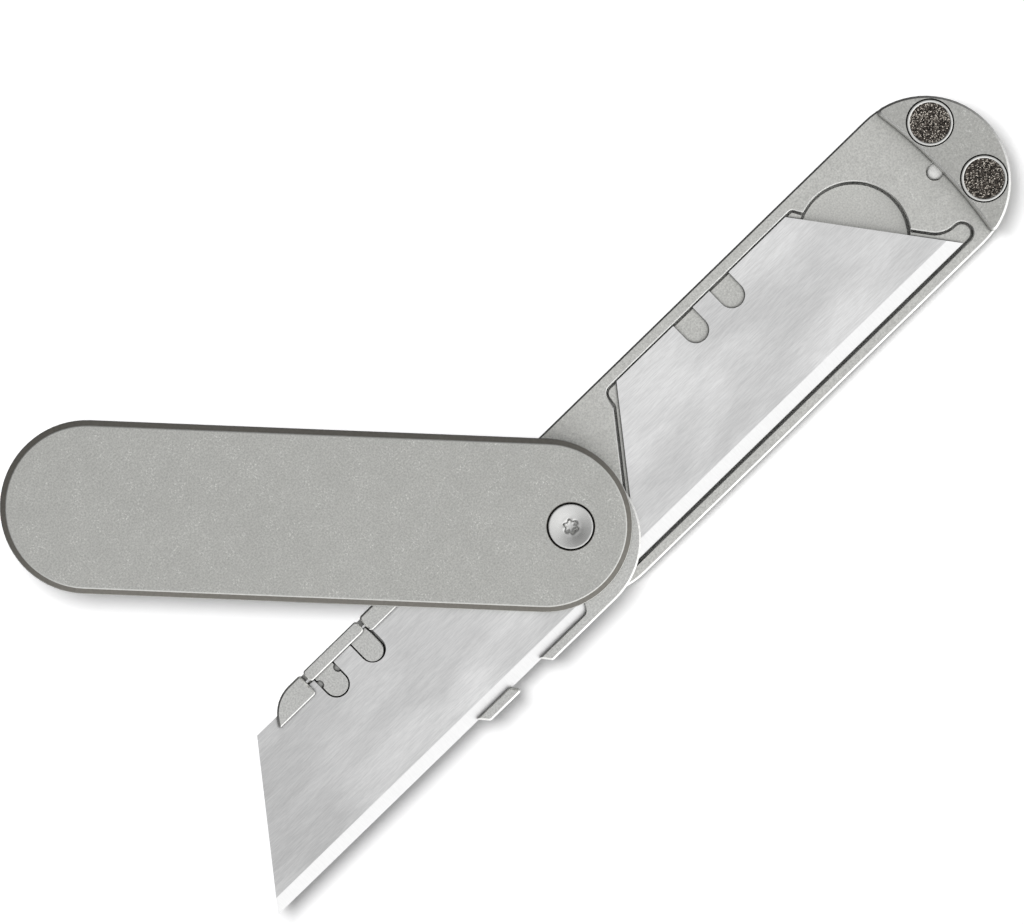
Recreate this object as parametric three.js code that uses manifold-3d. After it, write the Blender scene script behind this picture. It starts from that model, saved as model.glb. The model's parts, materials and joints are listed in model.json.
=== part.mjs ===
// Folding utility knife: three flat leaves on one pivot screw.
// The handle plate is the bottom leaf, the blade carrier the middle one, the cover the top one.
// Frame: origin on the pivot axis at the underside of the handle, +X towards the blade tip,
// +Y towards the cutting edge, +Z up through the leaves. Millimetres.

import * as THREE from 'three';
import { mergeVertices } from 'three/addons/utils/BufferGeometryUtils.js';
import Module from 'manifold-3d';

const wasm = await Module();
wasm.setup();

// ---------------------------------------------------------------- driving dimensions
const WIDTH = 22.5;             // handle
const END_R = WIDTH / 2;        // its round ends
const PIVOT_INSET = 8.5;        // pivot axis to the near round end of the handle and the carrier
const HANDLE_REACH = 76.2;      // pivot axis to the butt
const COVER_WIDTH = 22.8;
const COVER_INSET = 8.1;        // pivot axis to the near round end of the cover
const COVER_REACH = 74.85;      // pivot axis to its far end
const COVER_ANGLE = -46.5;      // degrees, direction in which the cover lies, open

const HANDLE_T = 3.0;
const CARRIER_T = 3.5;
const COVER_T = 2.6;
const WASHER_T = 0.2;
const CARRIER_Z = HANDLE_T + WASHER_T;
const CARRIER_TOP = CARRIER_Z + CARRIER_T;
const COVER_Z = CARRIER_TOP + WASHER_T;
const TOP_Z = COVER_Z + COVER_T;

const EDGE = 0.25;              // small chamfer on the handle and the carrier
const COVER_EDGE = 0.8;         // wide chamfer round the top of the cover
const COVER_EDGE_DROP = 0.5;
const PAD_EDGE = 0.3;
const RIM_EDGE = 0.14;          // chamfer round the mouths of the recesses

const BLADE_L = 59.8;           // along the cutting edge
const BLADE_SPINE = 31.0;       // along the back
const BLADE_H = 18.8;           // back to edge
const BLADE_T = 0.6;
const BLADE_GRIND = 1.75;       // width of the ground strip
const BLADE_SLANT = (BLADE_L - BLADE_SPINE) / 2 / BLADE_H;   // run of each slanted end per mm of height
const NOTCH_W = 3.55;
const NOTCH_DEPTH = 4.2;
const NOTCH_PITCH = 6.6;

const SPARE_X = -33.15;         // middle of the spare blade
const SPARE_Y = -0.05;
const POCKET_Z = 2.3;           // floor of the spare blade's pocket
const POCKET_BACK_Y = -9.65;    // pocket wall beside the blade's back
const POCKET_EDGE_Y = 9.75;     // pocket wall beside its cutting edge
const GROOVE_W = 0.38;          // relief groove along the foot of the recess walls
const GROOVE_DEPTH = 0.7;
const FINGER_R = 7.5;           // finger recess at the butt end of the pocket
const FINGER_X = -53.2;
const FINGER_Y = -1.15;
const FINGER_Z = 1.2;

const PAD_INNER_R = 67.6;       // inner edge of the magnet pad, an arc about the pivot
const PAD_TOP = COVER_Z - 0.1;
const MAGNET_X = 70.75;         // pivot axis to the pad's magnets
const MAGNET_Y = 5.1;
const MAGNET_R = 3.05;
const MAGNET_T = 2.0;

const CUT_X = 33.2;             // middle of the working blade
const CUT_Y = 0.4;
const FLOOR_T = 2.0;            // carrier floor under the blade
const CUT_Z = CARRIER_Z + FLOOR_T;
const LIP_Z = CUT_Z + BLADE_T + 0.05;
const CARRIER_EDGE_Y = 11.0;    // outer line of the carrier beside the cutting edge
const CARRIER_BACK_Y = -10.8;   // outer line of the carrier beside the blade's back
const CARRIER_END_R = 10.9;
const RIM_Y = 9.6;              // inner line of the rim beside the cutting edge
const BACK_LIP_Y = -8.4;
const NOSE_LIP_Y = -7.6;

const LOCK_BAR_X0 = 28.95;
const LOCK_BAR_X1 = 38.65;
const LOCK_BAR_Y = -9.1;        // side of the bar next to the blade's back
const LOCK_BASE_T = 0.6;
const WEB_T = 0.4;              // carrier floor left above the lock
const LOCK_TOP = CUT_Z - WEB_T; // top of the lock's base plate
const LOCK_Z = LOCK_TOP - LOCK_BASE_T;
const LEAF_T = 0.2;
const LEDGE_T = 0.25;           // ledges under the ends of the thumb bar
const LEDGE_ROOT = 0.8;         // their hold in the carrier
const LEDGE_REACH = 0.3;        // their reach under the bar

const STEM_R = 2.5;             // pivot barrel
const BARREL_HEAD_R = 4.2;
const BARREL_HEAD_T = 1.0;
const SCREW_HEAD_R = 2.98;
const SCREW_SEAT_Z = 8.5;       // top of the barrel, where the screw head sits
const STOP_R = 4.9;             // pivot axis to the stop pin
const STOP_PIN_R = 0.8;
const DETENT_R = 7.2;           // pivot axis to the detent ball
const BALL_R = 1.0;
const BALL_PROUD = 0.35;        // how far the ball stands out of the carrier

const DETENT_BORE_Z = 6.0;

const FIT = 0.15;               // running clearance
const PRESS = 0.05;             // clearance round pressed-in pieces
const SAG = 0.012;               // how far a facet may lie inside its arc
const OVER = 2;                 // how far a cutter runs past the face that it cuts

// ---------------------------------------------------------------- shape helpers
const rad = THREE.MathUtils.degToRad;

function arcSteps(radius, sweep) {
  const step = 2 * Math.acos(1 - SAG / radius);
  return Math.max(2, Math.ceil(Math.abs(sweep) / step));
}

// Points along an arc, angles in degrees.
function arc(cx, cy, radius, from, to) {
  const steps = arcSteps(radius, rad(to - from));
  const points = [];
  for (let i = 0; i <= steps; i += 1) {
    const a = rad(from + ((to - from) * i) / steps);
    points.push(new THREE.Vector2(cx + radius * Math.cos(a), cy + radius * Math.sin(a)));
  }
  return points;
}

function withoutRepeats(points) {
  return points.filter((p, i) => p.distanceTo(points[(i + 1) % points.length]) > 1e-5);
}

// A closed outline from corners [x, y, radius]; a corner without a radius stays sharp.
function outline(corners) {
  const points = [];
  corners.forEach(([x, y, radius = 0], i) => {
    const corner = new THREE.Vector2(x, y);
    const [px, py] = corners[(i + corners.length - 1) % corners.length];
    const [nx, ny] = corners[(i + 1) % corners.length];
    const back = new THREE.Vector2(px - x, py - y).normalize();
    const ahead = new THREE.Vector2(nx - x, ny - y).normalize();
    if (radius === 0) {
      points.push(corner);
      return;
    }
    const half = Math.acos(THREE.MathUtils.clamp(back.dot(ahead), -1, 1)) / 2;
    const middle = back.clone().add(ahead).normalize();
    const centre = corner.clone().addScaledVector(middle, radius / Math.sin(half));
    const start = corner.clone().addScaledVector(back, radius / Math.tan(half)).sub(centre);
    const end = corner.clone().addScaledVector(ahead, radius / Math.tan(half)).sub(centre);
    const from = start.angle();
    let sweep = end.angle() - from;
    if (sweep > Math.PI) sweep -= 2 * Math.PI;
    if (sweep < -Math.PI) sweep += 2 * Math.PI;
    const degrees = THREE.MathUtils.radToDeg;
    points.push(...arc(centre.x, centre.y, radius, degrees(from), degrees(from + sweep)));
  });
  return withoutRepeats(points);
}

const rectangle = (x0, x1, y0, y1, radius = 0) =>
  outline([[x0, y0, radius], [x1, y0, radius], [x1, y1, radius], [x0, y1, radius]]);

// A round-ended leaf lying along X between two ends.
const leaf = (x0, x1, width) => rectangle(x0, x1, -width / 2, width / 2, width / 2);

function solid(geometry) {
  geometry.deleteAttribute('normal');
  geometry.deleteAttribute('uv');
  const merged = mergeVertices(geometry, 1e-5);
  const index = Array.from(merged.index.array);
  const faces = [];
  for (let i = 0; i < index.length; i += 3) {
    const [a, b, c] = index.slice(i, i + 3);
    if (a !== b && b !== c && c !== a) faces.push(a, b, c);
  }
  return new wasm.Manifold(new wasm.Mesh({
    numProp: 3,
    vertProperties: merged.attributes.position.array,
    triVerts: new Uint32Array(faces),
  }));
}

// A flat piece between two heights, with the same chamfer round its bottom and its top.
function slab(points, z0, z1, chamfer = 0, drop = chamfer) {
  const geometry = new THREE.ExtrudeGeometry(new THREE.Shape(points), {
    depth: z1 - z0 - 2 * drop,
    bevelEnabled: chamfer > 0,
    bevelSize: chamfer,
    bevelOffset: -chamfer,
    bevelThickness: drop,
    bevelSegments: 1,
  });
  geometry.translate(0, 0, z0 + drop);
  return solid(geometry);
}

// Cutter for the chamfered mouth of a recess, whose outline grows by the chamfer up to height z.
function mouthCutter(points, z, chamfer = RIM_EDGE) {
  const geometry = new THREE.ExtrudeGeometry(new THREE.Shape(points), {
    depth: OVER, bevelSize: chamfer, bevelThickness: chamfer, bevelSegments: 1,
  });
  geometry.translate(0, 0, z);
  return solid(geometry);
}

// A turned piece from a profile of [radius, height] that starts and ends on the axis.
function turned(profile, x = 0, y = 0) {
  const points = profile.map(([r, z]) => new THREE.Vector2(r, z));
  const widest = Math.max(...profile.map(([r]) => r));
  const geometry = new THREE.LatheGeometry(points, arcSteps(widest, 2 * Math.PI));
  geometry.rotateX(Math.PI / 2);
  geometry.translate(x, y, 0);
  return solid(geometry);
}

const cylinder = (radius, z0, z1, x = 0, y = 0) =>
  turned([[0, z0], [radius, z0], [radius, z1], [0, z1]], x, y);

const roundMouth = (radius, z, x, y, chamfer = RIM_EDGE) => turned([
  [0, z - chamfer], [radius, z - chamfer], [radius + chamfer, z], [radius + chamfer, z + OVER], [0, z + OVER],
], x, y);

// A disc with a small chamfer at both ends.
const disc = (radius, z0, z1, x, y, chamfer) => turned([
  [0, z0], [radius - chamfer, z0], [radius, z0 + chamfer],
  [radius, z1 - chamfer], [radius - chamfer, z1], [0, z1],
], x, y);

const cutAll = (body, cutters) => cutters.reduce((rest, cutter) => rest.subtract(cutter), body);
const joinAll = (pieces) => pieces.reduce((whole, piece) => whole.add(piece));

// ---------------------------------------------------------------- finishes
const FINISH = {
  titanium: { color: 0x9fa09b, roughness: 0.55, metalness: 0.9 },
  cover: { color: 0x8d8e8a, roughness: 0.6, metalness: 0.9 },
  blade: { color: 0xc4c6c8, roughness: 0.3, metalness: 1.0 },
  steel: { color: 0xd0d1d2, roughness: 0.2, metalness: 1.0 },
  magnet: { color: 0x2f2a26, roughness: 0.7, metalness: 0.4 },
  bronze: { color: 0xa9824f, roughness: 0.4, metalness: 0.9 },
};

const knife = new THREE.Group();

function place(name, body, finish, parent = knife) {
  const { vertProperties, triVerts } = body.getMesh();
  const geometry = new THREE.BufferGeometry();
  geometry.setAttribute('position', new THREE.BufferAttribute(vertProperties, 3));
  geometry.setIndex(new THREE.BufferAttribute(triVerts, 1));
  geometry.computeVertexNormals();
  const mesh = new THREE.Mesh(geometry, new THREE.MeshStandardMaterial(FINISH[finish]));
  mesh.name = name;
  parent.add(mesh);
  return mesh;
}

// ---------------------------------------------------------------- blades
// A two-ended trapezoid blade, its back towards -Y, with two notches for the lock.
function bladeOutline() {
  const back = -BLADE_H / 2;
  const corners = [[-BLADE_L / 2, -back], [-BLADE_SPINE / 2, back]];
  for (const side of [-1, 1]) {
    const x0 = (side * NOTCH_PITCH - NOTCH_W) / 2;
    const x1 = x0 + NOTCH_W;
    const top = back + NOTCH_DEPTH;
    corners.push([x0, back], [x0, top, NOTCH_W / 2], [x1, top, NOTCH_W / 2], [x1, back]);
  }
  corners.push([BLADE_SPINE / 2, back], [BLADE_L / 2, -back]);
  return outline(corners);
}

// One side of the grind: a wedge along the edge, standing on the face at height z.
function grindCutter(z, away) {
  const edge = BLADE_H / 2;
  const reach = edge + OVER;
  const tip = BLADE_T / 2 - 0.02;
  const slope = tip / BLADE_GRIND;
  const section = new THREE.Shape([
    new THREE.Vector2(edge - BLADE_GRIND, 0),
    new THREE.Vector2(reach, -away * slope * (BLADE_GRIND + OVER)),
    new THREE.Vector2(reach, away * OVER),
    new THREE.Vector2(edge - BLADE_GRIND, away * OVER),
  ]);
  const geometry = new THREE.ExtrudeGeometry(section, { depth: BLADE_L + 2 * OVER, bevelEnabled: false });
  geometry.rotateX(Math.PI / 2);
  geometry.rotateZ(Math.PI / 2);
  geometry.translate(-BLADE_L / 2 - OVER, 0, z);
  return solid(geometry);
}

function blade(x, y, z) {
  const flat = slab(bladeOutline(), 0, BLADE_T);
  return cutAll(flat, [grindCutter(BLADE_T, 1), grindCutter(0, -1)]).translate(x, y, z);
}

// ---------------------------------------------------------------- handle
const SLOT_R = 1.05;                // small round-ended slot at the foot of the pad
const SLOT_Z = 2.4;                 // and its floor
const PAD_SCREWS_X = [-73.9, -70.3];
const PAD_SCREW_HEAD_R = 1.6;
const PAD_SCREW_R = 0.8;
const PAD_SCREW_TOP = 5.6;
const POCKET_MAGNETS_X = [SPARE_X - 7, SPARE_X + 7];
const POCKET_MAGNET_R = 2.0;
const POCKET_MAGNET_Y = 2.0;
const POCKET_MAGNET_Z = 1.3;
const STOP_PIN_Z = 1.5;

// Spare blade pocket: walls beside the blade, and a lobe round each of its sharp corners.
// An inset draws the whole outline in.
function pocketOutline(inset = 0) {
  const lobe = 1.5;
  const lobeX = BLADE_L / 2 + 2.35 - inset;
  const shelfY = POCKET_EDGE_Y - 2 * lobe + inset;
  const edgeY = POCKET_EDGE_Y - inset;
  const backY = POCKET_BACK_Y + inset;
  const clearance = 1.05 - inset * Math.hypot(1, BLADE_SLANT);
  const wallX = (y) => BLADE_L / 2 + clearance - (BLADE_H / 2 - y) * BLADE_SLANT;
  return outline([
    [SPARE_X - lobeX, edgeY, lobe - inset],
    [SPARE_X - lobeX, shelfY, lobe - inset],
    [SPARE_X - wallX(shelfY), shelfY, 3.5 + inset],
    [SPARE_X - wallX(-7.6), -7.6],
    [SPARE_X - wallX(backY) - 0.4, backY, 0.8 - inset],
    [SPARE_X + wallX(backY) + 1.3, backY, 1.2 - inset],
    [SPARE_X + wallX(-7.2), -7.2, 0.3 + inset],
    [SPARE_X + wallX(shelfY), shelfY, 3.5 + inset],
    [SPARE_X + lobeX, shelfY, lobe - inset],
    [SPARE_X + lobeX, edgeY, lobe - inset],
  ]);
}

// The narrow groove along the foot of the pocket wall, and the one round the finger recess.
function reliefGrooves() {
  const pocketTop = POCKET_Z + OVER / 2;
  const fingerTop = FINGER_Z + OVER / 2;
  const floor = slab(pocketOutline(GROOVE_W), POCKET_Z - OVER, pocketTop + OVER);
  const pocket = slab(pocketOutline(), POCKET_Z - GROOVE_DEPTH, pocketTop).subtract(floor);
  const ring = cylinder(FINGER_R, FINGER_Z - GROOVE_DEPTH / 2, fingerTop, FINGER_X, FINGER_Y);
  const disk = cylinder(FINGER_R - GROOVE_W, FINGER_Z - OVER, fingerTop + OVER, FINGER_X, FINGER_Y);
  return [pocket, ring.subtract(disk)];
}

// A countersunk screw standing point up, grown by a gap when it cuts its own hole.
function sunkProfile(headR, neckR, z, top, gap) {
  const foot = gap > 0 ? z - OVER : z + 0.05;
  const rim = z + 0.15;
  return [[0, foot], [headR + gap, foot], [headR + gap, rim], [neckR + gap, rim + headR - neckR],
    [neckR + gap, top], [0, top]];
}

const hexagon = (x, y, radius) => Array.from({ length: 6 }, (_, i) =>
  new THREE.Vector2(x + radius * Math.cos(rad(60 * i)), y + radius * Math.sin(rad(60 * i))));

const padScrewHole = (x) =>
  turned(sunkProfile(PAD_SCREW_HEAD_R, PAD_SCREW_R, 0, PAD_SCREW_TOP + PRESS, PRESS), x);

function padScrew(x) {
  const body = turned(sunkProfile(PAD_SCREW_HEAD_R, PAD_SCREW_R, 0, PAD_SCREW_TOP, 0), x);
  return body.subtract(slab(hexagon(x, 0, 0.6), -OVER, 0.75));
}

// The barrel's head has one flat, which stops it from turning in the handle.
function barrelHead(gap, z0, z1) {
  const radius = BARREL_HEAD_R + gap;
  const flatX = BARREL_HEAD_R - 0.8 + gap;
  const beyond = radius + OVER;
  const offcut = slab(rectangle(flatX, beyond, -beyond, beyond), z0 - OVER, z1 + OVER);
  return cylinder(radius, z0, z1).subtract(offcut);
}

// Shallow track for the detent ball, half a turn about the pivot with a dimple at each end.
function detentTrack() {
  const half = 0.6;
  const above = HANDLE_T + OVER;
  const floor = CARRIER_Z - BALL_PROUD - PRESS;
  const ring = [...arc(0, 0, DETENT_R + half, -90, 90), ...arc(0, 0, DETENT_R - half, 90, -90)];
  const dimple = (y) => turned([[0, floor - 0.2], [0.35, floor - 0.2], [half, floor], [half, above],
    [0, above]], 0, y);
  return joinAll([slab(ring, floor, above), dimple(DETENT_R), dimple(-DETENT_R)]);
}

function handlePlate() {
  const above = HANDLE_T + OVER;
  const slotX = -PAD_INNER_R + 1.75;
  const slot = rectangle(slotX - 2.6, slotX, -SLOT_R, SLOT_R, SLOT_R);
  return cutAll(slab(leaf(-HANDLE_REACH, PIVOT_INSET, WIDTH), 0, HANDLE_T, EDGE), [
    slab(pocketOutline(), POCKET_Z, above),
    mouthCutter(pocketOutline(), HANDLE_T),
    cylinder(FINGER_R, FINGER_Z, above, FINGER_X, FINGER_Y),
    roundMouth(FINGER_R, HANDLE_T, FINGER_X, FINGER_Y),
    ...reliefGrooves(),
    slab(slot, SLOT_Z, above),
    mouthCutter(slot, HANDLE_T),
    ...POCKET_MAGNETS_X.map((x) =>
      cylinder(POCKET_MAGNET_R + PRESS, POCKET_MAGNET_Z - PRESS, above, x, POCKET_MAGNET_Y)),
    ...PAD_SCREWS_X.map(padScrewHole),
    barrelHead(PRESS, -OVER, BARREL_HEAD_T + PRESS),
    cylinder(STEM_R + PRESS, 0, above),
    cylinder(STOP_PIN_R + PRESS, STOP_PIN_Z - PRESS, above, 0, STOP_R),
    detentTrack(),
  ]);
}

// Crescent at the butt: the handle's own round end outside, an arc about the pivot inside.
function padOutline() {
  const deg = THREE.MathUtils.radToDeg;
  const round = 0.9;
  const endX = END_R - HANDLE_REACH;
  const cornerX = (PAD_INNER_R ** 2 - END_R ** 2 + endX ** 2) / (2 * endX);
  const cornerY = Math.sqrt(PAD_INNER_R ** 2 - cornerX ** 2);
  const innerHalf = deg(Math.asin(cornerY / PAD_INNER_R) - round / PAD_INNER_R);
  const outerFrom = deg(Math.atan2(cornerY, cornerX - endX) + round / END_R);
  const outside = arc(endX, 0, END_R, outerFrom, 360 - outerFrom);
  const inside = arc(0, 0, PAD_INNER_R, 180 + innerHalf, 180 - innerHalf);
  const turn = (from, y, to) =>
    new THREE.QuadraticBezierCurve(from, new THREE.Vector2(cornerX, y), to).getPoints(6).slice(1, -1);
  return [
    ...outside, ...turn(outside.at(-1), -cornerY, inside[0]),
    ...inside, ...turn(inside.at(-1), cornerY, outside[0]),
  ];
}

function magnetPad() {
  const top = slab(padOutline(), HANDLE_T - PAD_EDGE, PAD_TOP, PAD_EDGE);
  const below = slab(rectangle(-HANDLE_REACH - OVER, 0, -END_R, END_R), HANDLE_T - OVER, HANDLE_T);
  const bore = (y) => cylinder(MAGNET_R + FIT, PAD_TOP - MAGNET_T - PRESS, PAD_TOP + OVER, -MAGNET_X, y);
  return cutAll(top, [below, bore(MAGNET_Y), bore(-MAGNET_Y), ...PAD_SCREWS_X.map(padScrewHole)]);
}

// ---------------------------------------------------------------- pivot
function pivotBarrel() {
  const boreR = 1.6;
  const boreZ = 2.0;
  const stem = cylinder(STEM_R, 0, SCREW_SEAT_Z);
  const bore = cylinder(boreR, boreZ, SCREW_SEAT_Z + OVER);
  return barrelHead(0, 0, BARREL_HEAD_T).add(stem).subtract(bore);
}

// Dished head: a polished cone falls from the rim to a six-lobed socket.
function pivotScrew() {
  const rimZ = TOP_Z - 0.1;
  const body = turned([
    [0, 2.6], [1.25, 2.6], [1.5, 2.85], [1.5, SCREW_SEAT_Z], [SCREW_HEAD_R, SCREW_SEAT_Z],
    [SCREW_HEAD_R, rimZ - 0.12], [SCREW_HEAD_R - 0.12, rimZ], [SCREW_HEAD_R - 0.3, rimZ],
    [1.15, rimZ - 0.35], [0, rimZ - 0.35],
  ]);
  const lobes = Array.from({ length: 48 }, (_, i) => {
    const a = rad(7.5 * i);
    const r = 0.92 + 0.16 * Math.cos(6 * a);
    return new THREE.Vector2(r * Math.cos(a), r * Math.sin(a));
  });
  return body.subtract(slab(lobes, rimZ - 1.2, TOP_Z + OVER));
}

const washer = (outerR, z) =>
  cylinder(outerR, z, z + WASHER_T).subtract(cylinder(STEM_R + PRESS, z - OVER, z + OVER));

// ---------------------------------------------------------------- blade carrier
const GAP_X = [15.0, 20.5];         // cord-cutting gap, measured on the rim's inner line
const GAP_BOTTOM_Y = 7.6;
const BAR_GAP = 0.55;               // slit at each end of the lock's bar
const ROOF = 2.2;                   // how far the roof reaches over the blade's tail, along X
const LOCK_BASE = { x0: 27.5, x1: 39.9, y0: -9.5, y1: -3.4 };
const LEAF = { x0: 17.4, x1: 36.0, y0: -7.4, y1: -4.6 };
const BLADE_BACK_Y = CUT_Y - BLADE_H / 2;
const NOTCH_TOP_Y = BLADE_BACK_Y + NOTCH_DEPTH;

// The slanted rear end of the working blade at height y.
const tailX = (y) => CUT_X - BLADE_L / 2 + (CUT_Y + BLADE_H / 2 - y) * BLADE_SLANT;

// A line parallel to that end, through x on the rim's inner line.
const slantX = (x, y) => x + (RIM_Y - y) * BLADE_SLANT;

function carrierOutline() {
  const barX0 = LOCK_BAR_X0 - BAR_GAP;
  const barX1 = LOCK_BAR_X1 + BAR_GAP;
  return outline([
    [-PIVOT_INSET, CARRIER_EDGE_Y, CARRIER_END_R],
    [-PIVOT_INSET, CARRIER_BACK_Y, CARRIER_END_R],
    [barX0, CARRIER_BACK_Y, 0.5], [barX0, LOCK_BAR_Y + 0.1],
    [barX1, LOCK_BAR_Y + 0.1], [barX1, CARRIER_BACK_Y, 0.4],
    [44.0, CARRIER_BACK_Y, 5.0], [45.9, NOSE_LIP_Y, 0.4],
    [26.5, RIM_Y], [25.3, CARRIER_EDGE_Y, 0.5],
    [slantX(GAP_X[1], CARRIER_EDGE_Y), CARRIER_EDGE_Y, 0.3],
    [slantX(GAP_X[1], GAP_BOTTOM_Y), GAP_BOTTOM_Y, 0.8],
    [slantX(GAP_X[0], GAP_BOTTOM_Y), GAP_BOTTOM_Y, 0.8],
    [slantX(GAP_X[0], CARRIER_EDGE_Y), CARRIER_EDGE_Y, 0.5],
  ]);
}

// Opening above the blade, inside the lips, the rim and the roof over the blade's tail.
function mouthOutline() {
  const far = CUT_X + BLADE_L;
  const below = CARRIER_BACK_Y - OVER;
  const barX0 = LOCK_BAR_X0 - BAR_GAP;
  const barX1 = LOCK_BAR_X1 + BAR_GAP;
  return outline([
    [tailX(RIM_Y - 1) + ROOF, RIM_Y, 0.9],
    [tailX(RIM_Y - 1) + ROOF - 0.9, RIM_Y - 1.6, 0.6],
    [tailX(BACK_LIP_Y) + ROOF, BACK_LIP_Y, 0.4],
    [barX0, BACK_LIP_Y, 0.45], [barX0, below], [barX1, below], [barX1, NOSE_LIP_Y, 0.35],
    [far, NOSE_LIP_Y], [far, RIM_Y],
  ]);
}

// Room for the blade, open at the front.
function bladeBay() {
  const y0 = BLADE_BACK_Y - 0.1;
  const y1 = CUT_Y + BLADE_H / 2 + 0.1;
  const far = CUT_X + BLADE_L;
  return slab(outline([[tailX(y1) - FIT, y1], [tailX(y0) - FIT, y0], [far, y0], [far, y1]]), CUT_Z, LIP_Z);
}

function lugOutlines(gap) {
  const foot = LOCK_BAR_Y - 0.3;
  const top = NOTCH_TOP_Y - 0.1 + gap;
  const [a, b] = [CUT_X - NOTCH_PITCH / 2, CUT_X + NOTCH_PITCH / 2];
  const half = NOTCH_W / 2 - 0.1 + gap;
  return [
    outline([[a - half + 0.3, foot], [a + half, foot], [a + half, top, 1.5], [a - half + 0.3, top, 1.5]]),
    outline([[b - half, foot], [b + half, foot], [b + half, top, 1.65], [b - half, top, 1.65]]),
  ];
}

function stopSlot() {
  const half = STOP_PIN_R + FIT;
  const ring = [...arc(0, 0, STOP_R + half, -90, 90), ...arc(0, 0, STOP_R - half, 90, -90)];
  const top = CARRIER_Z + 1.7;
  const end = (y) => cylinder(half, CARRIER_Z - OVER, top, 0, y);
  return joinAll([slab(ring, CARRIER_Z - OVER, top), end(STOP_R), end(-STOP_R)]);
}

// Thin ledges that close the gaps at the ends of the thumb bar from below.
function barLedges() {
  const ledge = (x0, x1) => slab(rectangle(x0, x1, CARRIER_BACK_Y + EDGE, LOCK_BAR_Y + 0.5),
    CARRIER_Z, CARRIER_Z + LEDGE_T);
  return joinAll([
    ledge(LOCK_BAR_X0 - BAR_GAP - LEDGE_ROOT, LOCK_BAR_X0 + LEDGE_REACH),
    ledge(LOCK_BAR_X1 - LEDGE_REACH, LOCK_BAR_X1 + BAR_GAP + LEDGE_ROOT),
  ]);
}

function bladeCarrier() {
  const below = CARRIER_Z - OVER;
  const { x0, x1, y0, y1 } = LOCK_BASE;
  return cutAll(slab(carrierOutline(), CARRIER_Z, CARRIER_TOP, EDGE).add(barLedges()), [
    bladeBay(),
    slab(mouthOutline(), LIP_Z - 0.3, CARRIER_TOP + OVER),
    mouthCutter(mouthOutline(), CARRIER_TOP),
    slab(rectangle(x0 - FIT, x1 + FIT, y0 - FIT, y1 + FIT, 0.6), below, LOCK_TOP),
    ...lugOutlines(FIT).map((lug) => slab(lug, LOCK_TOP - FIT, CUT_Z + FIT)),
    slab(rectangle(LEAF.x0 - 0.5, x0 + 1, LEAF.y0 - 0.5, LEAF.y1 + 0.5, 0.6), below, LOCK_Z),
    cylinder(LEAF_SCREW_R + PRESS, below, LEAF_SCREW_TOP + PRESS, LEAF_SCREW_X, LEAF_Y),
    cylinder(STEM_R + FIT, below, CARRIER_TOP + OVER),
    cylinder(BALL_R + PRESS, below, DETENT_BORE_Z, 0, -DETENT_R),
    stopSlot(),
  ]);
}

// ---------------------------------------------------------------- blade lock
const LEAF_SCREW_X = 19.4;
const LEAF_SCREW_R = 0.7;
const LEAF_SCREW_TOP = 4.95;
const LEAF_Y = (LEAF.y0 + LEAF.y1) / 2;

// Thumb bar outside the blade's back, and two lugs on a base that comes up under the blade.
function bladeLock() {
  const { x0, x1, y0, y1 } = LOCK_BASE;
  const lugTop = CUT_Z + BLADE_T - 0.05;
  const bar = slab(rectangle(LOCK_BAR_X0, LOCK_BAR_X1, CARRIER_BACK_Y, LOCK_BAR_Y, 0.4),
    LOCK_Z, CARRIER_TOP, 0.16);
  const base = slab(rectangle(x0, x1, y0, y1, 0.5), LOCK_Z, LOCK_TOP);
  const outer = slab(rectangle(x0 - OVER, x1 + OVER, CARRIER_BACK_Y, LOCK_BAR_Y - 0.25),
    LOCK_Z - OVER, CARRIER_TOP + OVER);
  const lugs = lugOutlines(0).map((lug) => slab(lug, LOCK_Z, lugTop, 0.12));
  const bulbX = CUT_X + NOTCH_PITCH / 2;
  const relief = (side) =>
    cylinder(0.65, LOCK_TOP, TOP_Z, bulbX + side * (NOTCH_W / 2 - 0.05), LOCK_BAR_Y + 1.05);
  return joinAll([bar, base.subtract(outer), ...lugs]).subtract(relief(-1)).subtract(relief(1));
}

// Flat leaf spring under the base, screwed to the carrier at its rear end.
function lockSpring() {
  const { x0, x1, y0, y1 } = LEAF;
  const leafBody = slab(rectangle(x0, x1, y0, y1, 1.2), LOCK_Z - LEAF_T, LOCK_Z);
  return leafBody.subtract(cylinder(LEAF_SCREW_R + 0.1, CARRIER_Z, CUT_Z, LEAF_SCREW_X, LEAF_Y));
}

function leafScrew() {
  const z = LOCK_Z - LEAF_T;
  const body = turned([[0, z - 0.7], [1.2, z - 0.7], [1.4, z - 0.5], [1.4, z], [LEAF_SCREW_R, z],
    [LEAF_SCREW_R, LEAF_SCREW_TOP], [0, LEAF_SCREW_TOP]], LEAF_SCREW_X, LEAF_Y);
  return body.subtract(slab(hexagon(LEAF_SCREW_X, LEAF_Y, 0.55), CARRIER_Z - OVER, z - 0.25));
}

// ---------------------------------------------------------------- detent
const BALL_Z = CARRIER_Z - BALL_PROUD + BALL_R;

function detentBall() {
  const profile = arc(0, BALL_Z, BALL_R, -90, 90).map((p) => [Math.max(0, p.x), p.y]);
  profile[0][0] = 0;
  profile.at(-1)[0] = 0;
  return turned(profile, 0, -DETENT_R);
}

class Helix extends THREE.Curve {
  constructor(radius, z0, z1, turns) {
    super();
    Object.assign(this, { radius, z0, z1, turns });
  }

  getPoint(t, target = new THREE.Vector3()) {
    const a = 2 * Math.PI * this.turns * t;
    const z = THREE.MathUtils.lerp(this.z0, this.z1, t);
    return target.set(this.radius * Math.cos(a), this.radius * Math.sin(a), z);
  }
}

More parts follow.
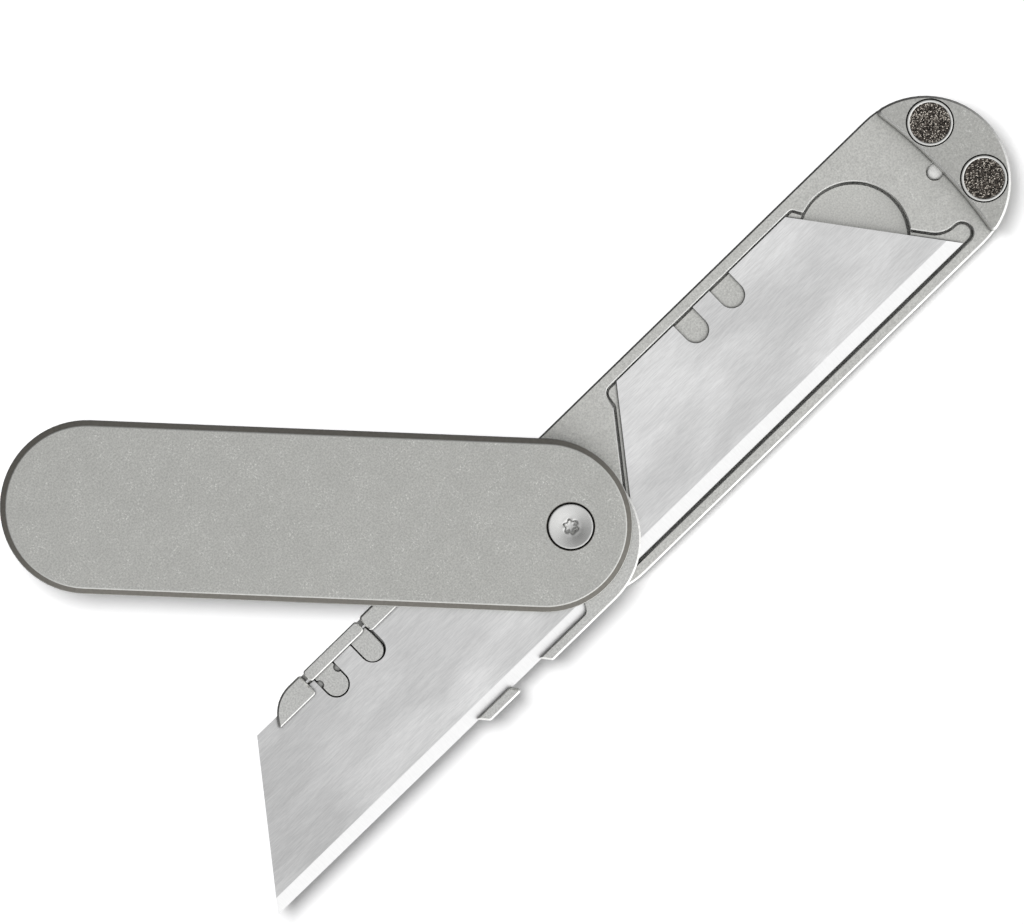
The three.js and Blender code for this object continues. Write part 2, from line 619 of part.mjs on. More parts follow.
function detentSpring() {
  const wire = 0.13;
  const turns = 2.5;
  const foot = BALL_Z + BALL_R + wire + PRESS;
  const path = new Helix(0.7, foot, DETENT_BORE_Z - wire - PRESS, turns);
  const section = new THREE.Shape(hexagon(0, 0, wire));
  const geometry = new THREE.ExtrudeGeometry(section, { steps: 12 * turns, extrudePath: path });
  return solid(geometry).translate(0, -DETENT_R, 0);
}

// ---------------------------------------------------------------- cover
// Built along +X from the pivot, then swung as a whole.
const COVER_MAGNET_X = 70.4;
const COVER_MAGNET_Y = 4.7;
const COVER_MAGNET_R = 2.3;
const COVER_MAGNET_T = 1.6;

function coverPlate() {
  const shape = leaf(-COVER_INSET, COVER_REACH, COVER_WIDTH);
  const face = slab(shape, COVER_Z - OVER, TOP_Z, COVER_EDGE, COVER_EDGE_DROP);
  const back = slab(shape, COVER_Z, TOP_Z + OVER, EDGE);
  const seat = SCREW_SEAT_Z - PRESS;
  const sink = SCREW_HEAD_R + FIT;
  return cutAll(face.intersect(back), [
    turned([[0, COVER_Z - OVER], [STEM_R + FIT, COVER_Z - OVER], [STEM_R + FIT, seat], [sink, seat],
      [sink, TOP_Z - 0.1], [sink + 0.1, TOP_Z], [sink + 0.1, TOP_Z + OVER], [0, TOP_Z + OVER]]),
    ...[1, -1].map((side) => cylinder(COVER_MAGNET_R + PRESS, COVER_Z - OVER,
      COVER_Z + COVER_MAGNET_T + PRESS, COVER_MAGNET_X, side * COVER_MAGNET_Y)),
  ]);
}

// ---------------------------------------------------------------- assembly
place('handle_plate', handlePlate(), 'titanium');
place('magnet_pad', magnetPad(), 'titanium');
[1, -1].forEach((side, i) => {
  const y = side * MAGNET_Y;
  const body = disc(MAGNET_R, PAD_TOP - MAGNET_T, PAD_TOP - 0.05, -MAGNET_X, y, 0.15);
  place(`pad_magnet_${i + 1}`, body, 'magnet');
});
PAD_SCREWS_X.forEach((x, i) => place(`pad_screw_${i + 1}`, padScrew(x), 'steel'));
POCKET_MAGNETS_X.forEach((x, i) => {
  const body = disc(POCKET_MAGNET_R, POCKET_MAGNET_Z, POCKET_Z, x, POCKET_MAGNET_Y, 0.1);
  place(`pocket_magnet_${i + 1}`, body, 'magnet');
});
place('spare_blade', blade(SPARE_X, SPARE_Y, POCKET_Z), 'blade');
place('stop_pin', disc(STOP_PIN_R, STOP_PIN_Z, CARRIER_Z + 1.5, 0, STOP_R, 0.1), 'steel');
place('pivot_barrel', pivotBarrel(), 'steel');
place('pivot_screw', pivotScrew(), 'steel');
place('washer_lower', washer(3.7, HANDLE_T), 'bronze');
place('washer_upper', washer(5.5, CARRIER_TOP), 'bronze');

place('blade_carrier', bladeCarrier(), 'titanium');
place('cutting_blade', blade(CUT_X, CUT_Y, CUT_Z), 'blade');
place('blade_lock', bladeLock(), 'titanium');
place('lock_spring', lockSpring(), 'steel');
place('lock_spring_screw', leafScrew(), 'steel');
place('detent_ball', detentBall(), 'steel');
place('detent_spring', detentSpring(), 'steel');

const cover = new THREE.Group();
cover.rotation.z = rad(COVER_ANGLE);
knife.add(cover);
place('cover_plate', coverPlate(), 'cover', cover);
[1, -1].forEach((side, i) => {
  const y = side * COVER_MAGNET_Y;
  const body = disc(COVER_MAGNET_R, COVER_Z, COVER_Z + COVER_MAGNET_T, COVER_MAGNET_X, y, 0.15);
  place(`cover_magnet_${i + 1}`, body, 'magnet', cover);
});

export default knife;
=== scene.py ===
"""Looks of a folding utility knife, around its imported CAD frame. Metres, in the row frame."""

import json
import math
import random

import bmesh
import bpy
from mathutils import Matrix, Vector
from mathutils.geometry import delaunay_2d_cdt
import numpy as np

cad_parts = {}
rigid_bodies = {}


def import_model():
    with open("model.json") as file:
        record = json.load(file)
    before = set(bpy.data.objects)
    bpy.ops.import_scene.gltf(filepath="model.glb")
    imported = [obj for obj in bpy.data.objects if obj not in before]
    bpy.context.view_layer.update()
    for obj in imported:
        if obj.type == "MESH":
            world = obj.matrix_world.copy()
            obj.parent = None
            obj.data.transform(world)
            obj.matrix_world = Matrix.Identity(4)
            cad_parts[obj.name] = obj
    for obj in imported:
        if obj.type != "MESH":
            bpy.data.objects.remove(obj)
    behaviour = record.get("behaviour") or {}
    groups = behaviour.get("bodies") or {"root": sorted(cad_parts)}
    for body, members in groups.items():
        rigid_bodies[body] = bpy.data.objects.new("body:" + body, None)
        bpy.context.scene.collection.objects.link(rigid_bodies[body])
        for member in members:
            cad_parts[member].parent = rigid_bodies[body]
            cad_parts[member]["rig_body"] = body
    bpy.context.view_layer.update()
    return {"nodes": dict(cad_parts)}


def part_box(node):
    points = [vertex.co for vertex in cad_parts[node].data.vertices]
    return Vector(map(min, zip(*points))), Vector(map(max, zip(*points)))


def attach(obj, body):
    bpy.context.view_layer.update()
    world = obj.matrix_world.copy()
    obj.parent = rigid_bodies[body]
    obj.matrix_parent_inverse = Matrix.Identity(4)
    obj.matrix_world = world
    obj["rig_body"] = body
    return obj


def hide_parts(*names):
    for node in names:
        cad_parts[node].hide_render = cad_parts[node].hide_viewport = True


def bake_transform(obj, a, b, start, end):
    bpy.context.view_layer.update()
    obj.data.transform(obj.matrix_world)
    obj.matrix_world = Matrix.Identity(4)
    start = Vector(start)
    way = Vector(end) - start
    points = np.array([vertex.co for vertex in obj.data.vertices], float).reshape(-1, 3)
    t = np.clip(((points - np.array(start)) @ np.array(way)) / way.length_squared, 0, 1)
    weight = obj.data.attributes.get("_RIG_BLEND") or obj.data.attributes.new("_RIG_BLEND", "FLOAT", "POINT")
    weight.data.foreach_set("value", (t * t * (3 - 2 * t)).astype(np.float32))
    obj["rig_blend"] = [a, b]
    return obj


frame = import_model()

MM = 0.001
PAINTED_GAP_SHADE = (0.012, 0.012, 0.012)     # painted shade: the colour deep in a narrow gap
SHARP = 28      # degrees: edges that turn by more stay sharp
random.seed(19)


# ------------------------------------------------------------------ node helpers
class Material:
    """A node material with short calls for the nodes that it needs."""

    def __init__(self, name, color, metallic=1.0, roughness=0.5, **sockets):
        self.data = bpy.data.materials.new(name)
        self.data.use_nodes = True
        self.tree = self.data.node_tree
        self.shader = self.tree.nodes["Principled BSDF"]
        self.set(self.shader, "Base Color", color)
        self.set(self.shader, "Metallic", metallic)
        self.set(self.shader, "Roughness", roughness)
        for socket, value in sockets.items():
            self.set(self.shader, socket.replace("_", " "), value)
        self.place = self.node("ShaderNodeTexCoord").outputs["Object"]

    def node(self, kind, **inputs):
        made = self.tree.nodes.new(kind)
        for socket, value in inputs.items():
            self.set(made, socket.replace("_", " "), value)
        return made

    def set(self, node, socket, value):
        self.connect(node.inputs[socket], value)

    def connect(self, target, value):
        """Links a socket to the target, or gives it a number or a colour."""
        if isinstance(value, bpy.types.NodeSocket):
            self.tree.links.new(value, target)
        elif target.type == "RGBA" and len(value) == 3:
            target.default_value = (*value, 1.0)
        else:
            target.default_value = value

    def stretched(self, x, y, z):
        """The place on the piece, counted x, y and z times per metre."""
        mapping = self.node("ShaderNodeMapping", Vector=self.place)
        mapping.inputs["Scale"].default_value = (x, y, z)
        return mapping.outputs["Vector"]

    def noise(self, x, y=None, z=None, detail=2.0, roughness=0.5):
        """Noise with x, y and z waves per metre; y and z are the same as x unless given."""
        where = self.stretched(x, y or x, z or x)
        return self.node("ShaderNodeTexNoise", Vector=where, Scale=1.0, Detail=detail,
                         Roughness=roughness).outputs["Fac"]

    def cell_tones(self, scale):
        """A random number for each small cell."""
        cells = self.node("ShaderNodeTexVoronoi", Vector=self.stretched(scale, scale, scale), Scale=1.0)
        return self.node("ShaderNodeSeparateColor", Color=cells.outputs["Color"]).outputs[0]

    def levels(self, value, low, high, to_low=0.0, to_high=1.0):
        """The value with its range low to high stretched to the second range, and cut off there."""
        made = self.node("ShaderNodeMapRange", Value=value, From_Min=low, From_Max=high,
                         To_Min=to_low, To_Max=to_high)
        return made.outputs["Result"]

    def product(self, first, second):
        made = self.node("ShaderNodeMath")
        made.operation = "MULTIPLY"
        self.connect(made.inputs[0], first)
        self.connect(made.inputs[1], second)
        return made.outputs[0]

    def mix(self, amount, first, second, blend="MIX"):
        made = self.node("ShaderNodeMix")
        made.data_type = "RGBA"
        made.blend_type = blend
        for socket, value in ((0, amount), (6, first), (7, second)):
            self.connect(made.inputs[socket], value)
        return made.outputs[2]

    def darkened(self, color, amount, depth):
        """The colour, taken down by the part depth where amount is 1."""
        low = 1.0 - depth
        return self.mix(1.0, color, self.mix(amount, (1.0, 1.0, 1.0), (low, low, low)), "MULTIPLY")

    def paint(self, color):
        self.set(self.shader, "Base Color", color)

    def rough(self, value):
        self.set(self.shader, "Roughness", value)

    def with_painted_gap_shade(self, color, reach):
        """The colour with painted shade: dark where another surface stands closer than reach, found by an
        ambient-occlusion node.
        """
        near = self.node("ShaderNodeAmbientOcclusion", Distance=reach)
        near.samples = 4
        return self.mix(self.levels(near.outputs["AO"], 0.50, 0.84), PAINTED_GAP_SHADE, color)

    def bump(self, height, distance, strength):
        bumps = self.node("ShaderNodeBump", Height=height, Distance=distance, Strength=strength)
        self.set(self.shader, "Normal", bumps.outputs["Normal"])


def shade(color, factor):
    """The colour, lighter or darker by the factor."""
    return tuple(min(1.0, c * factor) for c in color)


# ------------------------------------------------------------------ materials
def blasted(name, color, fleck=0.5):
    """Bead-blasted titanium: fine grain, faint clouds, and small light marks that come in patches."""
    grain, mottle, roughness = 0.19, 0.05, 0.48
    m = Material(name, color, roughness=roughness)
    fine = m.levels(m.noise(4200, detail=4.0, roughness=0.7), 0.35, 0.65)
    slow = m.levels(m.noise(170, detail=4.0, roughness=0.6), 0.3, 0.7)
    base = m.mix(fine, shade(color, 1 - grain), shade(color, 1 + grain))
    base = m.darkened(base, slow, mottle)
    marks = m.levels(m.noise(5200, 3400, 4200, detail=3.0), 0.56, 0.66)
    patches = m.levels(m.noise(420, detail=3.0), 0.44, 0.64)
    base = m.mix(m.product(m.product(marks, patches), fleck), base, (0.95, 0.95, 0.92))
    # painted shade darkens the colour in narrow gaps
    m.paint(m.with_painted_gap_shade(base, 0.42 * MM))
    m.rough(m.levels(fine, 0.0, 1.0, roughness - 0.06, roughness + 0.06))
    m.bump(m.noise(3300, detail=3.0), 0.010 * MM, 0.6)
    return m.data


def machined(name, color, roughness=0.26, metallic=1.0):
    """Cut metal with fine tool lines; the light copy on the edges is partly a painted highlight, the dark
    copy on the cover's wide chamfer partly painted shade.
    """
    m = Material(name, color, metallic=metallic, roughness=roughness)
    lines = m.levels(m.noise(2600, detail=3.0), 0.3, 0.7)
    # painted shade darkens the colour in narrow gaps
    m.paint(m.with_painted_gap_shade(m.mix(lines, shade(color, 0.9), shade(color, 1.06)), 0.5 * MM))
    m.bump(m.noise(3000, detail=2.0), 0.003 * MM, 0.5)
    return m.data


def brushed(name, color):
    """Blade steel: short fine brush lines along its length and soft clouds. Painted shade darkens the blade
    in use towards its tip, which is the only blade steel past tip_from."""
    streak, cloud, roughness = 0.20, 0.18, 0.36
    tip_from, tip_to, tip_painted_shade = 24 * MM, 64 * MM, 0.19
    m = Material(name, color, roughness=roughness)
    lines = m.levels(m.noise(600, 6500, 600, detail=4.0, roughness=0.65), 0.36, 0.64)
    soft = m.levels(m.noise(170, 1500, 300, detail=2.0), 0.3, 0.7)
    clouds = m.levels(m.noise(62, 125, 60, detail=2.0), 0.38, 0.62)
    base = m.mix(lines, shade(color, 1 - streak / 2), shade(color, 1 + streak / 2))
    base = m.darkened(base, soft, streak / 3)
    base = m.darkened(base, clouds, cloud)
    # painted shade: darker towards the tip of the blade in use
    along = m.node("ShaderNodeSeparateXYZ", Vector=m.place).outputs["X"]
    base = m.darkened(base, m.levels(along, tip_from, tip_to), tip_painted_shade)
    # painted shade darkens the colour in narrow gaps
    m.paint(m.with_painted_gap_shade(base, 0.42 * MM))
    m.rough(m.levels(lines, 0.0, 1.0, roughness - 0.04, roughness + 0.06))
    m.bump(m.noise(420, 6000, 600, detail=2.0), 0.003 * MM, 0.5)
    return m.data


def ground(name, color):
    """Ground strip of a blade: bright, with faint fine lines across it."""
    m = Material(name, color, roughness=0.35)
    lines = m.levels(m.noise(6000, 700, 300, detail=2.0), 0.3, 0.7)
    m.paint(m.mix(lines, shade(color, 0.97), shade(color, 1.02)))
    m.bump(m.noise(5200, 500, 300, detail=2.0), 0.002 * MM, 0.3)
    return m.data


def granular(name):
    """Coarse dark magnet face: each grain has its own tone, and a few are bright."""
    dark = (0.008, 0.007, 0.006)
    m = Material(name, dark, metallic=0.7, roughness=0.4)
    tone = m.cell_tones(8800)
    base = m.mix(m.levels(tone, 0.3, 0.75), dark, (0.11, 0.092, 0.078))
    base = m.mix(m.levels(tone, 0.80, 0.97), base, (0.85, 0.79, 0.70))
    m.paint(base)
    m.bump(m.noise(9000, detail=2.0), 0.008 * MM, 0.6)
    return m.data


def polished(name, color, roughness, anisotropic=0.0):
    """Smooth metal with a faint haze; anisotropic is for turned faces, which shine in rays."""
    m = Material(name, color, roughness=roughness, Anisotropic=anisotropic)
    if anisotropic:
        tangent = m.node("ShaderNodeTangent")
        tangent.direction_type = "RADIAL"
        tangent.axis = "Z"
        m.set(m.shader, "Tangent", tangent.outputs["Tangent"])
    haze = m.levels(m.noise(1500, detail=3.0), 0.3, 0.7)
    m.rough(m.levels(haze, 0.0, 1.0, roughness * 0.8, roughness * 1.3))
    m.paint(m.mix(haze, shade(color, 0.96), shade(color, 1.03)))
    return m.data


def plain_floor():
    """White paper. A little light of its own lifts the shadows as far as the photo's."""
    m = Material("floor_paper", (0.92, 0.92, 0.925), metallic=0.0, roughness=0.8,
                 Emission_Strength=0.27)
    m.set(m.shader, "Emission Color", (1.0, 1.0, 1.0))
    tone = m.levels(m.noise(60, detail=4.0), 0.3, 0.7)
    m.paint(m.mix(tone, (0.915, 0.915, 0.92), (0.925, 0.925, 0.93)))
    return m.data


TITANIUM = blasted("titanium_light", (0.685, 0.686, 0.66))
PAD = blasted("titanium_pad", (0.54, 0.541, 0.518))
COVER = blasted("titanium_grey", (0.58, 0.582, 0.558), fleck=0.65)
# painted shade: a dark copy of the titanium for the cover's wide chamfer, on top of its real dark reflection
COVER_BAND_PAINTED_SHADE = machined("titanium_chamfer_painted_shade", (0.19, 0.181, 0.162), roughness=0.42, metallic=0.6)
CARRIER = blasted("titanium_bright", (0.67, 0.672, 0.655), fleck=0.35)
# painted highlight: a lighter copy of the titanium for the chamfers, on top of their real reflection
EDGE_PAINTED_HIGHLIGHT = machined("titanium_edge_painted_highlight", (0.9, 0.9, 0.88))
# painted highlight: a lighter copy of the cover's titanium for its rounded corner
COVER_ROUNDING_HIGHLIGHT = machined("cover_rounding_painted_highlight", (0.62, 0.625, 0.6), roughness=0.34)
BLADE = brushed("blade_steel", (0.93, 0.932, 0.935))
GROUND = ground("blade_ground", (0.90, 0.90, 0.90))
MAGNET = granular("magnet_grain")
MAGNET_SIDE = polished("magnet_plating", (0.72, 0.72, 0.70), 0.25)
SCREW = polished("screw_steel", (0.66, 0.66, 0.65), 0.26, anisotropic=0.7)
STEEL = polished("pin_steel", (0.62, 0.625, 0.63), 0.22)
SPRING = polished("spring_steel", (0.42, 0.43, 0.45), 0.3)
BRONZE = polished("washer_bronze", (0.55, 0.38, 0.19), 0.3)


# ------------------------------------------------------------------ mesh helpers
def link(name, mesh):
    obj = bpy.data.objects.new(name, mesh)
    bpy.context.scene.collection.objects.link(obj)
    return obj


def finished(obj, node, slot, *materials):
    """Puts a finished piece in the place of its CAD node, on the node's own body."""
    for material in materials:
        obj.data.materials.append(material)
    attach(obj, frame["nodes"][node]["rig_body"])
    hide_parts(node)
    return obj


def faces_of(node):
    """The node's solid as flat faces, with its facets joined where they lie in one plane."""
    bm = bmesh.new()
    bm.from_mesh(frame["nodes"][node].data)
    bmesh.ops.remove_doubles(bm, verts=bm.verts, dist=1e-4 * MM)
    bmesh.ops.dissolve_limit(bm, angle_limit=math.radians(0.5), verts=bm.verts, edges=bm.edges)
    return bm


def mark_sharp(bm, angle):
    """Smooth shading, broken at edges that turn by more than the angle in degrees."""
    for face in bm.faces:
        face.smooth = True
    for edge in bm.edges:
        edge.smooth = len(edge.link_faces) == 2 and edge.calc_face_angle(0.0) <= math.radians(angle)


def made(name, bm):
    """An object of the finished mesh, without the CAD's own normals and map."""
    mesh = bpy.data.meshes.new(name)
    bm.to_mesh(mesh)
    bm.free()
    for spare in [a.name for a in mesh.attributes if a.name in ("custom_normal", "UVMap")]:
        mesh.attributes.remove(mesh.attributes[spare])
    return link(name, mesh)


def refined(node, slot, *materials, pick=None, angle=SHARP):
    """A piece with the node's own shape; pick(face) gives each face's material."""
    bm = faces_of(node)
    mark_sharp(bm, angle)
    if pick:
        for face in bm.faces:
            face.material_index = pick(face)
    finished(made(node + "_fine", bm), node, slot, *materials)


def chamfers(face):
    """The second material on the slanted faces that look up: on the titanium parts the painted-highlight
    edge material.
    """
    slanted = 0.3 < face.normal.z < 0.95
    return 1 if slanted else 0


def chamfers_and_slot(face):
    """The chamfers, and the floor of the slot at the pad's foot, painted bright in the edge material as lit
    floor would look through a hole.
    """
    slot_z, slot_end_x = 2.4, -60
    middle = face.calc_center_median() / MM
    # painted light: the slot's floor is made bright in the edge material
    painted_bright_floor = face.normal.z > 0.99 and abs(middle.z - slot_z) < 0.05 and middle.x < slot_end_x
    return 1 if painted_bright_floor else chamfers(face)


def blade_piece(node):
    """A blade, with its ground strips on both sides of the edge."""
    strip_width = 1.72 * MM
    strip_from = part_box(node)[1].y - strip_width

    def pick(face):
        slanted = 0.2 < abs(face.normal.z) < 0.999
        return 1 if slanted and face.calc_center_median().y > strip_from else 0

    refined(node, "blade_steel", BLADE, GROUND, pick=pick, angle=5)


def cover_piece():
    """The cover, with the corner between its face and its wide chamfer rounded and painted a little lighter
    as a highlight, on top of its real reflection.
    """
    round_pivot, least_turn, width = 5 * MM, math.radians(20), 0.10 * MM
    bm = faces_of("cover_plate")
    mark_sharp(bm, SHARP)
    weight = bm.edges.layers.float.new("bevel_weight_edge")
    for edge in bm.edges:
        turn = edge.calc_face_angle_signed(0.0) if len(edge.link_faces) == 2 else 0.0
        outer = min(v.co.xy.length for v in edge.verts) > round_pivot
        edge[weight] = 1.0 if outer and turn > least_turn else 0.0
        edge.smooth = edge.smooth or turn > 0
    for face in bm.faces:
        # the wide chamfer takes the painted-shade material
        face.material_index = 2 * chamfers(face)
    obj = finished(made("cover_plate_fine", bm), "cover_plate", "titanium_cover",
                   COVER, COVER_ROUNDING_HIGHLIGHT, COVER_BAND_PAINTED_SHADE)
    bevel = obj.modifiers.new("edges", "BEVEL")
    bevel.width = width
    bevel.segments = 3
    bevel.limit_method = "WEIGHT"
    # the rounding takes the painted-highlight material
    bevel.material = 1
    bevel.use_clamp_overlap = False
    bevel.harden_normals = True
    normals = obj.modifiers.new("normals", "WEIGHTED_NORMAL")
    normals.weight = 100
    normals.keep_sharp = True


def leaf_spring():
    """The lock's spring: screwed down at one end, it bends along its steps as the lock moves."""
    bm = faces_of("lock_spring")
    low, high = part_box("lock_spring")
    steps = 14
    for step in range(1, steps):
        across = low.x + (high.x - low.x) * step / steps
        everything = bm.verts[:] + bm.edges[:] + bm.faces[:]
        bmesh.ops.bisect_plane(bm, geom=everything, plane_co=(across, 0, 0), plane_no=(1, 0, 0))
    mark_sharp(bm, SHARP)
    obj = made("lock_spring_fine", bm)
    obj.data.materials.append(SPRING)
    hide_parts("lock_spring")
    middle = (low + high) / 2
    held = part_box("lock_spring_screw")[1].x
    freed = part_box("blade_lock")[0].x
    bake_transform(obj, "carrier", "lock",
             start=(held, middle.y, middle.z), end=(freed + 2 * MM, middle.y, middle.z))


def ring_points(radius, z, sides):
    """Points of a level ring; radius is a number or a function of the angle."""
    angles = [2 * math.pi * i / sides for i in range(sides)]
    reach = [radius(a) if callable(radius) else radius for a in angles]
    return [Vector((r * math.cos(a), r * math.sin(a), z)) * MM for r, a in zip(reach, angles)]


def loft(rings, sides=96):
    """A closed body through level rings (radius, z), filled at both ends."""
    bm = bmesh.new()
    rows = [[bm.verts.new(p) for p in ring_points(radius, z, sides)] for radius, z in rings]
    for below, above in zip(rows, rows[1:]):
        for i in range(sides):
            j = (i + 1) % sides
            bm.faces.new((below[i], below[j], above[j], above[i]))
    bm.faces.new(reversed(rows[0]))
    bm.faces.new(rows[-1])
    return bm


def screw_head():
    """Pivot screw: a rounded rim, a dished polished cone and a six-lobed socket."""
    low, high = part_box("pivot_screw")
    foot, top, head = low.z / MM, high.z / MM, (high.x - low.x) / 2 / MM
    shaft, thickness, step, blunt, round_r = 1.5, 0.9, 0.06, 0.25, 0.14
    dish_r, dish, socket_r, lobe, socket = 1.6, 0.30, 0.92, 0.16, 1.1
    seat = top - thickness

    def lobes(grow):
        return lambda a: socket_r + grow + lobe * math.cos(6 * a)

    rings = [(shaft - blunt, foot), (shaft, foot + blunt), (shaft, seat), (head - step, seat),
             (head, seat + step), (head, top - round_r)]
    for i in range(1, 6):
        turn = math.pi / 2 * i / 5
        rings.append((head - round_r * (1 - math.cos(turn)), top - round_r * (1 - math.sin(turn))))
    rings += [(head - 0.3, top - 0.005), (dish_r, top - dish), (1.22, top - dish - 0.06),
              (lobes(0.04), top - dish - 0.08), (lobes(0.0), top - dish - 0.13),
              (lobes(-0.02), top - socket), (0.3, top - socket - 0.1)]
    bm = loft(rings)
    mark_sharp(bm, 34)
    finished(made("pivot_screw_fine", bm), "pivot_screw", "hardware_steel", SCREW)


def grain_magnet(node):
    """End magnet: a bright plated rim round a coarse face of tilted grains."""
    low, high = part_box(node)
    centre = (low + high) / 2
    radius, top, foot = (high.x - low.x) / 2 / MM, high.z / MM, low.z / MM
    rim_width, round_r, sunk, blunt, sides = 0.36, 0.10, 0.07, 0.15, 72
    face_r = radius - rim_width
    rings = [(radius - blunt, foot), (radius, foot + blunt), (radius, top - round_r),
             (radius - 0.03, top - 0.03), (radius - round_r, top),
             (face_r + round_r, top), (face_r + 0.03, top - 0.02), (face_r, top - sunk)]
    bm = loft(rings, sides)
    mark_sharp(bm, 40)
    plate = max(bm.faces, key=lambda f: f.calc_center_median().z if len(f.verts) > 4 else -1)
    rim = list(plate.verts)
    bmesh.ops.delete(bm, geom=[plate], context="FACES_ONLY")
    grain, stray, tilt, margin = 0.15, 0.04, 0.035, 0.07
    row_step = grain * 0.866
    rows = int(face_r / row_step) + 1
    spots = [v.co.xy / MM for v in rim]
    for row in range(-rows, rows + 1):
        for column in range(-rows - 2, rows + 3):
            x = (column + row / 2 % 1) * grain + random.uniform(-stray, stray)
            y = row * row_step + random.uniform(-stray, stray)
            if math.hypot(x, y) < face_r - margin:
                spots.append(Vector((x, y)))
    count = len(rim)
    outline = [(i, (i + 1) % count) for i in range(count)]
    faces = delaunay_2d_cdt(spots, outline, [], 1, 1e-7)[2]
    grains = [bm.verts.new((p.x * MM, p.y * MM, (top - sunk + random.uniform(-tilt, tilt)) * MM))
              for p in spots[count:]]
    corners = rim + grains
    for face in faces:
        facet = bm.faces.new([corners[i] for i in face])
        facet.smooth = False
        facet.material_index = 1
    bmesh.ops.recalc_face_normals(bm, faces=bm.faces)
    bmesh.ops.translate(bm, verts=bm.verts, vec=(centre.x, centre.y, 0))
    finished(made(node + "_fine", bm), node, "magnet", MAGNET_SIDE, MAGNET)


# ------------------------------------------------------------------ pieces
# the chamfers take the painted-highlight edge material
refined("handle_plate", "titanium", TITANIUM, EDGE_PAINTED_HIGHLIGHT, pick=chamfers_and_slot)
refined("magnet_pad", "titanium", PAD, EDGE_PAINTED_HIGHLIGHT, pick=chamfers)
refined("blade_carrier", "titanium", CARRIER, EDGE_PAINTED_HIGHLIGHT, pick=chamfers)
refined("blade_lock", "titanium", CARRIER, EDGE_PAINTED_HIGHLIGHT, pick=chamfers)
cover_piece()
blade_piece("spare_blade")
blade_piece("cutting_blade")
screw_head()
leaf_spring()
for node in ("pivot_barrel", "stop_pin", "detent_ball", "lock_spring_screw",
             "pad_screw_1", "pad_screw_2"):
    refined(node, "hardware_steel", STEEL)
refined("detent_spring", "spring_steel", SPRING)
for end in (1, 2):
    refined(f"pocket_magnet_{end}", "magnet", MAGNET_SIDE)
    refined(f"cover_magnet_{end}", "magnet", MAGNET_SIDE)
    grain_magnet(f"pad_magnet_{end}")
refined("washer_lower", "bronze", BRONZE)
refined("washer_upper", "bronze", BRONZE)


# ------------------------------------------------------------------ floor, lights, camera
# The camera looks straight down; the knife lies across its view, blade to the lower left.
IMAGE_RIGHT = Vector((-0.7169, 0.6972, 0.0))
IMAGE_UP = Vector((-0.6972, -0.7169, 0.0))
AIM = Vector((-0.37, -11.42, 4.0)) * MM
FRAME_WIDTH = 134.7 * MM
CAMERA_HEIGHT = 1.2
SENSOR = 36.0
# The room's brightness, as (place, brightness) from -1 away from its bright side to 1 at it.
WORLD_SIDE = IMAGE_RIGHT * 0.65 - IMAGE_UP * 0.65 + Vector((0, 0, 0.4))
WORLD_STOPS = ((-1.0, 0.05), (-0.5, 0.14), (0.0, 0.36), (0.4, 0.84), (0.75, 1.2), (1.0, 1.6))
WORLD_PEAK = 2.0


def add_floor():
    """The white floor, just under the knife and out of the metal's reflections."""
    mesh = bpy.data.meshes.new("floor")
    half = 5.0
    corners = [(-half, -half, 0), (half, -half, 0), (half, half, 0), (-half, half, 0)]
    mesh.from_pydata(corners, [], [(0, 1, 2, 3)])
    floor = link("floor", mesh)
    floor.location.z = -0.02 * MM
    mesh.materials.append(plain_floor())
    floor.visible_glossy = False


def add_panel(name, right, up, height, size, power):
    """A square soft light over the knife, placed from it by the image's right and up. The metal
    mirrors only the room, so the panel lights the floor and casts the shadows."""
    data = bpy.data.lights.new(name, "AREA")
    data.shape = "SQUARE"
    data.size = size
    data.energy = power
    light = bpy.data.objects.new(name, data)
    bpy.context.scene.collection.objects.link(light)
    light.location = AIM + IMAGE_RIGHT * right + IMAGE_UP * up + Vector((0, 0, height))
    light.rotation_euler = (AIM - light.location).to_track_quat("-Z", "Y").to_euler()
    light.visible_camera = False
    light.visible_glossy = False


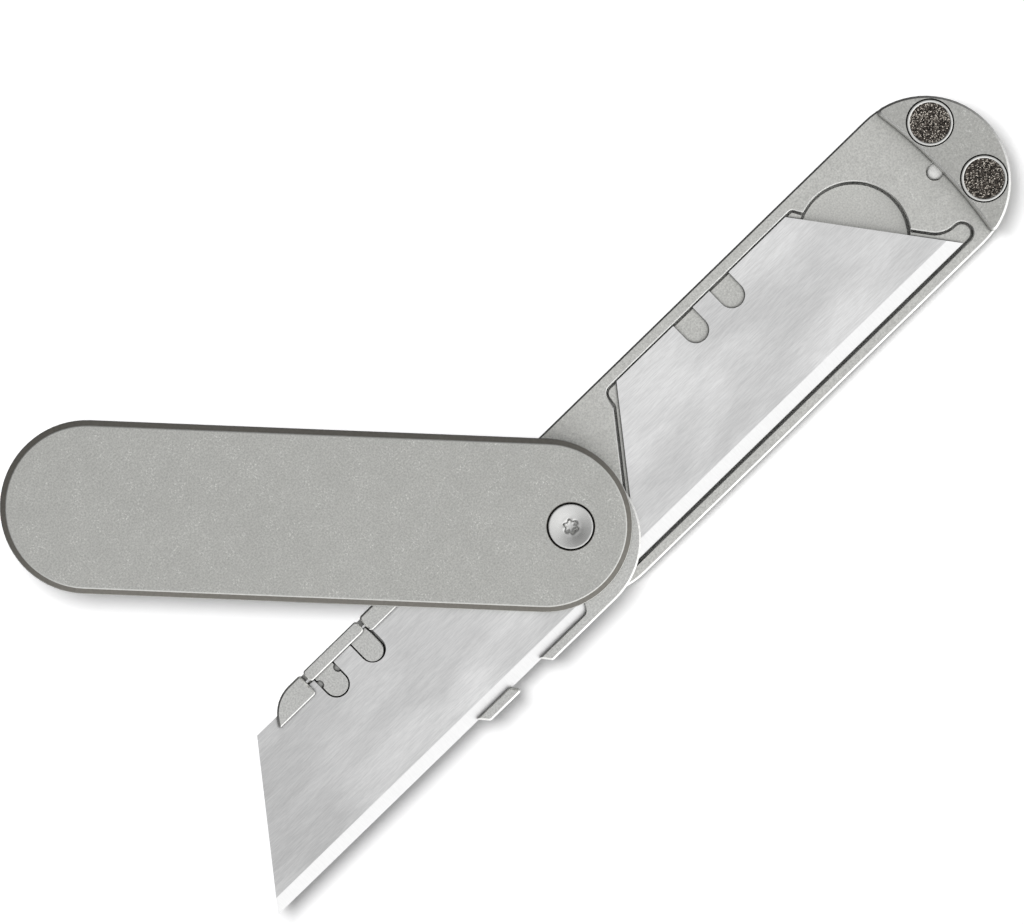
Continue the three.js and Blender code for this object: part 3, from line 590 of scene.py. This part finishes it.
def add_world(side, stops):
    """A white room that is brighter towards one side. Only reflections see it, not the floor."""
    world = bpy.data.worlds.new("studio")
    bpy.context.scene.world = world
    world.use_nodes = True
    tree = world.node_tree
    back = tree.nodes["Background"]
    where = tree.nodes.new("ShaderNodeTexCoord")
    dot = tree.nodes.new("ShaderNodeVectorMath")
    dot.operation = "DOT_PRODUCT"
    dot.inputs[1].default_value = side.normalized()
    ramp = tree.nodes.new("ShaderNodeFloatCurve")
    ramp.inputs["Factor"].default_value = 1.0
    scale = tree.nodes.new("ShaderNodeMapRange")
    scale.inputs["From Min"].default_value = -1.0
    curve = ramp.mapping.curves[0]
    for place, level in stops[1:-1]:
        curve.points.new((place + 1) / 2, level / WORLD_PEAK)
    for point, (_, level) in zip((curve.points[0], curve.points[-1]), (stops[0], stops[-1])):
        point.location.y = level / WORLD_PEAK
    ramp.mapping.update()
    peak = tree.nodes.new("ShaderNodeMath")
    peak.operation = "MULTIPLY"
    peak.inputs[1].default_value = WORLD_PEAK
    tree.links.new(where.outputs["Generated"], dot.inputs[0])
    tree.links.new(dot.outputs["Value"], scale.inputs["Value"])
    tree.links.new(scale.outputs["Result"], ramp.inputs["Value"])
    tree.links.new(ramp.outputs["Value"], peak.inputs[0])
    tree.links.new(peak.outputs[0], back.inputs["Strength"])
    back.inputs["Color"].default_value = (1.0, 1.0, 1.0, 1.0)
    world.cycles_visibility.diffuse = False


def add_camera():
    """A camera far enough up to see as little of the sides as the photo does."""
    data = bpy.data.cameras.new("camera")
    data.sensor_width = SENSOR
    data.lens = SENSOR * CAMERA_HEIGHT / FRAME_WIDTH
    data.clip_start = 0.05
    data.clip_end = 10.0
    camera = bpy.data.objects.new("camera", data)
    bpy.context.scene.collection.objects.link(camera)
    turn = Matrix((IMAGE_RIGHT, IMAGE_UP, Vector((0, 0, 1)))).transposed()
    camera.matrix_world = Matrix.Translation(AIM + Vector((0, 0, CAMERA_HEIGHT))) @ turn.to_4x4()
    bpy.context.scene.camera = camera


def set_colour_management():
    scene = bpy.context.scene
    scene.view_settings.view_transform = "Standard"
    scene.view_settings.look = "None"


add_floor()
add_world(WORLD_SIDE, WORLD_STOPS)
add_panel("key", right=-0.26, up=0.16, height=1.2, size=0.5, power=14.5)
add_camera()
set_colour_management()
